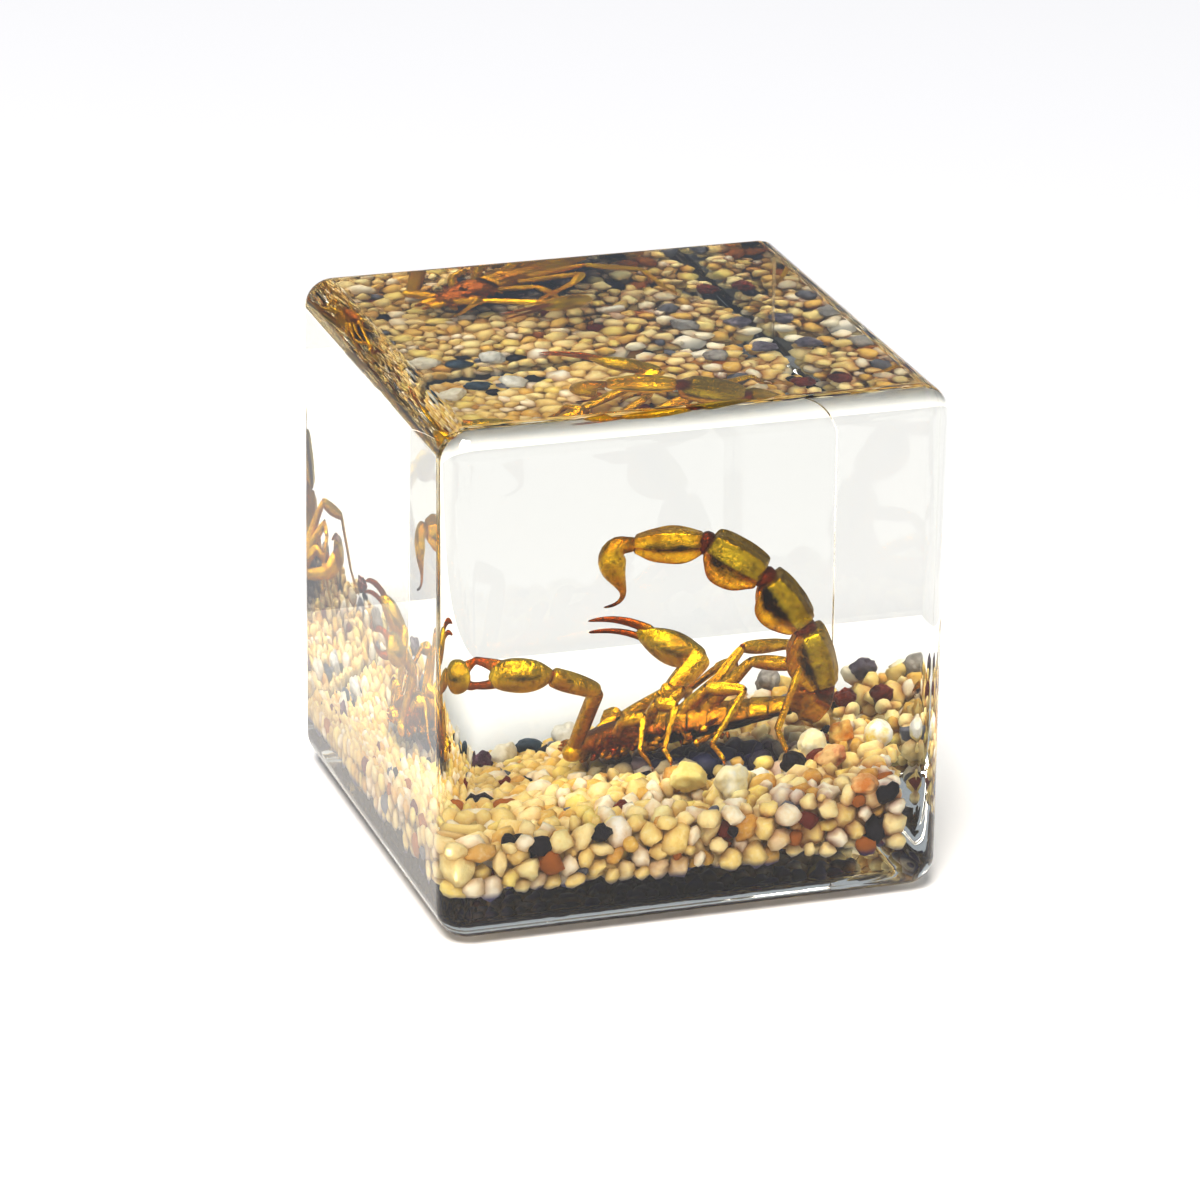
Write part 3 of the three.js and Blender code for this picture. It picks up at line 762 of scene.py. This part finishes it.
# Sting: a neck, a swollen bulb and a black curved point.
STING = [
    ((-1.2, -0.9, 32.7), 0.85), ((-2.2, -0.9, 32.75), 0.86), ((-3.0, -0.7, 32.8), 1.12),
    ((-3.65, -0.6, 32.2), 1.42), ((-3.75, -0.5, 31.1), 1.56), ((-3.45, -0.4, 30.0), 1.24),
    ((-2.95, -0.3, 29.1), 0.8), ((-2.5, -0.3, 28.2), 0.46), ((-2.45, -0.2, 27.4), 0.33),
    ((-2.85, -0.2, 26.8), 0.24), ((-3.6, -0.1, 26.45), 0.15), ((-4.4, -0.1, 26.4), 0.05),
]


def sting_tint(t, x, y):
    neck = math.exp(-(((t - 0.12) / 0.08) ** 2))
    return (min(1, max(0, t * 2.4 - 1.1)) + 0.5 * neck, 0.5 * (0.2 < t < 0.5), 0.4 * neck + max(0, t * 4 - 3))


tube(STING, ROUND, sting_tint, Vector((0, -1, 0)))

# Arms, the near one first: a ring, an upper and a lower arm, and a pincer of a swollen palm with two thin
# curved fingers.
ARMS = [
    {
        "joints": [(-4.1, 5.7, 10.9), (-6.7, 3.4, 10.9), (-4.9, 0.5, 17.7), (-9.3, 0.2, 19.7)],
        "palm": [
            ((-9.3, 0.2, 19.8), 0.5), ((-9.6, 0.2, 19.85), 0.72), ((-10.2, 0.25, 19.9), 1.12),
            ((-11.1, 0.35, 20.0), 1.58), ((-12.3, 0.6, 20.1), 1.82), ((-13.5, 0.85, 20.15), 1.8),
            ((-14.5, 1.1, 20.3), 1.52), ((-15.2, 1.35, 20.5), 1.05), ((-15.5, 1.5, 20.6), 0.5),
        ],
        "fixed": [
            ((-13.9, 1.0, 20.7), 1.05), ((-15.0, 1.4, 21.2), 0.72), ((-16.0, 2.0, 21.6), 0.5),
            ((-17.0, 2.6, 21.75), 0.42), ((-17.9, 3.0, 21.6), 0.32), ((-18.6, 3.2, 21.2), 0.1),
        ],
        "moving": [
            ((-14.2, 1.2, 19.7), 0.7), ((-14.9, 1.6, 19.35), 0.6), ((-15.8, 2.0, 19.1), 0.44),
            ((-16.8, 2.6, 19.0), 0.4), ((-17.7, 3.1, 19.3), 0.3), ((-18.4, 3.4, 19.9), 0.1),
        ],
    },
    {
        "joints": [(-3.0, 7.6, 11.4), (-1.2, 8.5, 12.3), (5.3, 12.5, 13.9), (8.7, 14.3, 16.4)],
        "palm": [
            ((9.0, 14.2, 16.4), 0.5), ((8.8, 14.3, 16.5), 0.85), ((8.2, 14.7, 16.6), 1.25),
            ((7.2, 15.2, 16.85), 1.66), ((6.0, 15.9, 17.4), 1.84), ((4.9, 16.6, 17.9), 1.62),
            ((3.9, 17.3, 18.4), 1.15), ((3.1, 17.8, 18.9), 0.7), ((2.8, 18.0, 19.1), 0.4),
        ],
        "fixed": [
            ((4.3, 17.1, 18.9), 0.8), ((3.3, 17.7, 19.5), 0.56), ((2.1, 18.3, 20.0), 0.43),
            ((0.4, 19.0, 20.3), 0.35), ((-1.0, 19.4, 20.3), 0.27), ((-2.0, 19.6, 20.15), 0.1),
        ],
        "moving": [
            ((4.4, 17.0, 18.0), 0.7), ((3.2, 17.6, 18.35), 0.45), ((1.9, 18.4, 18.85), 0.36),
            ((0.5, 19.2, 19.05), 0.31), ((-0.9, 19.8, 19.0), 0.24), ((-1.8, 20.1, 18.85), 0.1),
        ],
    },
]
ARM_SECTION = both_sides([
    (0, 1.0), (0.14, 1.01), (0.24, 0.93), (0.6, 0.8), (0.8, 0.66), (0.95, 0.32), (1.0, 0.05), (0.92, -0.3),
    (0.72, -0.66), (0.4, -0.9), (0.2, -1.0), (0, -0.98),
])
PALM_SECTION = both_sides([
    (0, 1.0), (0.3, 0.96), (0.42, 0.94), (0.6, 0.8), (0.85, 0.52), (0.93, 0.36), (1.0, 0.02), (0.96, -0.3),
    (0.82, -0.58), (0.6, -0.82), (0.3, -0.97), (0, -1.0),
])
THICK_ARM = [
    (0, 0.42, 0.42, 0.42), (0.03, 0.66, 0.66, 0.66), (0.1, 0.8, 0.84, 0.84), (0.35, 0.9, 0.98, 0.98),
    (0.7, 0.98, 1.02, 1.05), (0.9, 0.98, 1.02, 1.02), (0.97, 0.9, 0.92, 0.92), (1, 0.55, 0.6, 0.6),
]


def lower_tint(t, x, y):
    return (0.6 * (t < 0.06 or t > 0.96) + 0.3 * (y < -0.4) + 0.2 * (y > 0.95), 0.5, 0.0)


# Painted shade: one side of the near upper arm is painted darker and redder.
def upper_tint(t, x, y):
    return (0.3 + 0.35 * (x > 0.3), 0.35, 0.1 * (x > 0.3))


def palm_tint(t, x, y):
    stripe = math.exp(-(((t - 0.5) / 0.2) ** 2) - ((y + 0.02) / 0.14) ** 2) * (abs(x) > 0.5)
    return (0.7 * (t < 0.1) + 0.5 * max(0, t - 0.82) + 0.2 * (y < -0.55), 0.62, 0.75 * stripe)


def finger_tint(t, x, y):
    return (0.35 + 0.6 * min(1, t * 4), 0.0, 0.3 * t)


RING_ROWS = [(-1.1, 0.5), (-0.6, 1.12), (0.3, 1.16), (0.9, 0.7)]
UPPER_ARMS = [(0.88, upper_tint), (0.78, GOLD)]
LOWER_ARMS = [(1.06, lower_tint), (1.26, GOLD)]
for arm, (upper_size, upper), (lower_size, lower) in zip(ARMS, UPPER_ARMS, LOWER_ARMS):
    hip, ring, elbow, wrist = [Vector(point) for point in arm["joints"]]
    loft(straight(hip, ring, THICK_ARM, 1.05, 0.3), ARM_SECTION, (0.35, 0, 0.1))
    column(ring, RING_ROWS, ROUND, GOLD)
    loft(straight(ring, elbow, THICK_ARM, upper_size, 0.2), ARM_SECTION, upper, (elbow - ring).cross(UP))
    loft(straight(elbow, wrist, THICK_ARM, lower_size, 0.35), ARM_SECTION, lower)
    knuckle(elbow - (elbow - ring).normalized() * 0.6, 1.02, GOLD)
    knuckle(wrist, 0.78)
    loft([(point, r * 0.85, r, r) for point, r in arm["palm"]], PALM_SECTION, palm_tint)
    for finger in (arm["fixed"], arm["moving"]):
        loft([(point, r * 0.8, r, r) for point, r in finger], ROUND, finger_tint)
    hinge = Vector(arm["moving"][1][0])
    lobe(hinge + UP * 0.35, (0.3, -0.1, 0.1), 0.4, (0.9, 0, 1))

# Head: two stout toothed jaws under the front edge of the shield, lumps of mouth parts, and eyes on top.
MOUTH_PARTS = [
    ((-2.7, 5.1, 12.4), (0.8, -0.2, 0.35), 0.5), ((-3.5, 5.1, 11.4), (0.6, -0.3, 0.4), 0.5),
    ((-1.9, 4.6, 11.7), (0.5, -0.2, 0.5), 0.42), ((-4.6, 5.2, 10.5), (0.8, -0.2, -0.3), 0.6),
    ((-3.1, 4.7, 10.4), (0.7, -0.2, 0.3), 0.5), ((-1.0, 4.2, 12.6), (0.7, -0.3, 0.2), 0.4),
]
EYE_ROWS = [(-0.3, 0.2), (0, 0.32), (0.2, 0.24), (0.28, 0.06)]
for side in (-0.75, 0.75):
    root = BROW + Vector((0.35 * side, 0.75 * side, 0.35))
    tip = root + Vector((-1.5, 0.55, -0.25))
    loft(straight(root - Vector((-1.4, 0.5, -0.3)), tip, THICK_ARM, 0.78), ROUND, GOLD)
    for lift in (0.25, -0.32):
        bend = tip + Vector((-0.5, 0.2, lift))
        point = tip + Vector((-0.95, 0.35, lift * 0.3))
        tube([(tip + UP * lift * 0.9, 0.38), (bend, 0.24), (point, 0.05)], SMALL_ROUND, FINGER)
for place, reach, size in MOUTH_PARTS:
    lobe(place, reach, size, (0.85, 0.0, 0.2))
eye_line = WAIST.lerp(BROW, 0.5) + UP * 1.75
for side in (-0.32, 0.32):
    centre = eye_line + Vector((0.42, 0.9, 0)) * side
    column(centre, EYE_ROWS, ROUND, (0, 0, 1))

# Shell: mottled gold under its tints, with painted shade in the low places of a fine relief.
shell = Finish("scorpion_shell", {"Metallic": 0.85, "Specular IOR Level": 0.3})
tints = {"Color": shell.layer("tint", "Color")}
ruddy, olive, dark = [shell.node("SeparateColor", {}, tints, part) for part in ("Red", "Green", "Blue")]
blotch = shell.steps(shell.grain(2.2, 4), 0.38, 0.66)
speckle = shell.steps(shell.grain(0.4, 4, 0.6), 0.45, 0.75)
relief = shell.grain(0.5, 4, 0.55)
horn = shell.mix(blotch, colour("ffca12"), colour("d08a04"))
# Painted glints: pale yellow flecks where the speckle is high.
horn = shell.mix(speckle * 0.35, horn, colour("ffe44c"))
horn = shell.mix(olive * 0.9, horn, shell.mix(blotch, colour("b8a214"), colour("7c6c08")))
horn = shell.mix(ruddy, horn, shell.mix(speckle, colour("a0400a"), colour("3c1008")))
# The dark tint blackens the shell: its own dark patches, eyes and sting point, and the painted shade on the
# belly and the leg undersides.
dark_marks_and_shade = shell.steps(dark * (blotch * 0.5 + speckle * 0.5 + 0.6), 0.12, 0.85)
horn = shell.mix(dark_marks_and_shade, horn, colour("080a10"))
# Painted shade darkens the low places of the relief.
relief_shade = (1 - shell.steps(relief, 0.34, 0.5)) * 0.45
shell.paint("Base Color", shell.mix(relief_shade, horn, colour("5c3002")))
shell.paint("Roughness", speckle * 0.14 + 0.17)
shell.bump(relief + blotch * 0.5 + speckle * 0.3, 0.2, 0.8)

# No shell is quite even: it has shallow dents all over, and next to no bumps.
HIGHEST_BUMP = 0.05
body.normal_update()
for vert in body.verts:
    dent = noise.noise(vert.co * 0.9) * 0.2 + noise.noise(vert.co * 2.6) * 0.14
    vert.co += vert.normal * min(dent, HIGHEST_BUMP)
scorpion = add_piece("scorpion_skin", body, shell, "scorpion_shell", "scorpion")
rounding = scorpion.modifiers.new("rounding", "SUBSURF")
rounding.levels = rounding.render_levels = 1
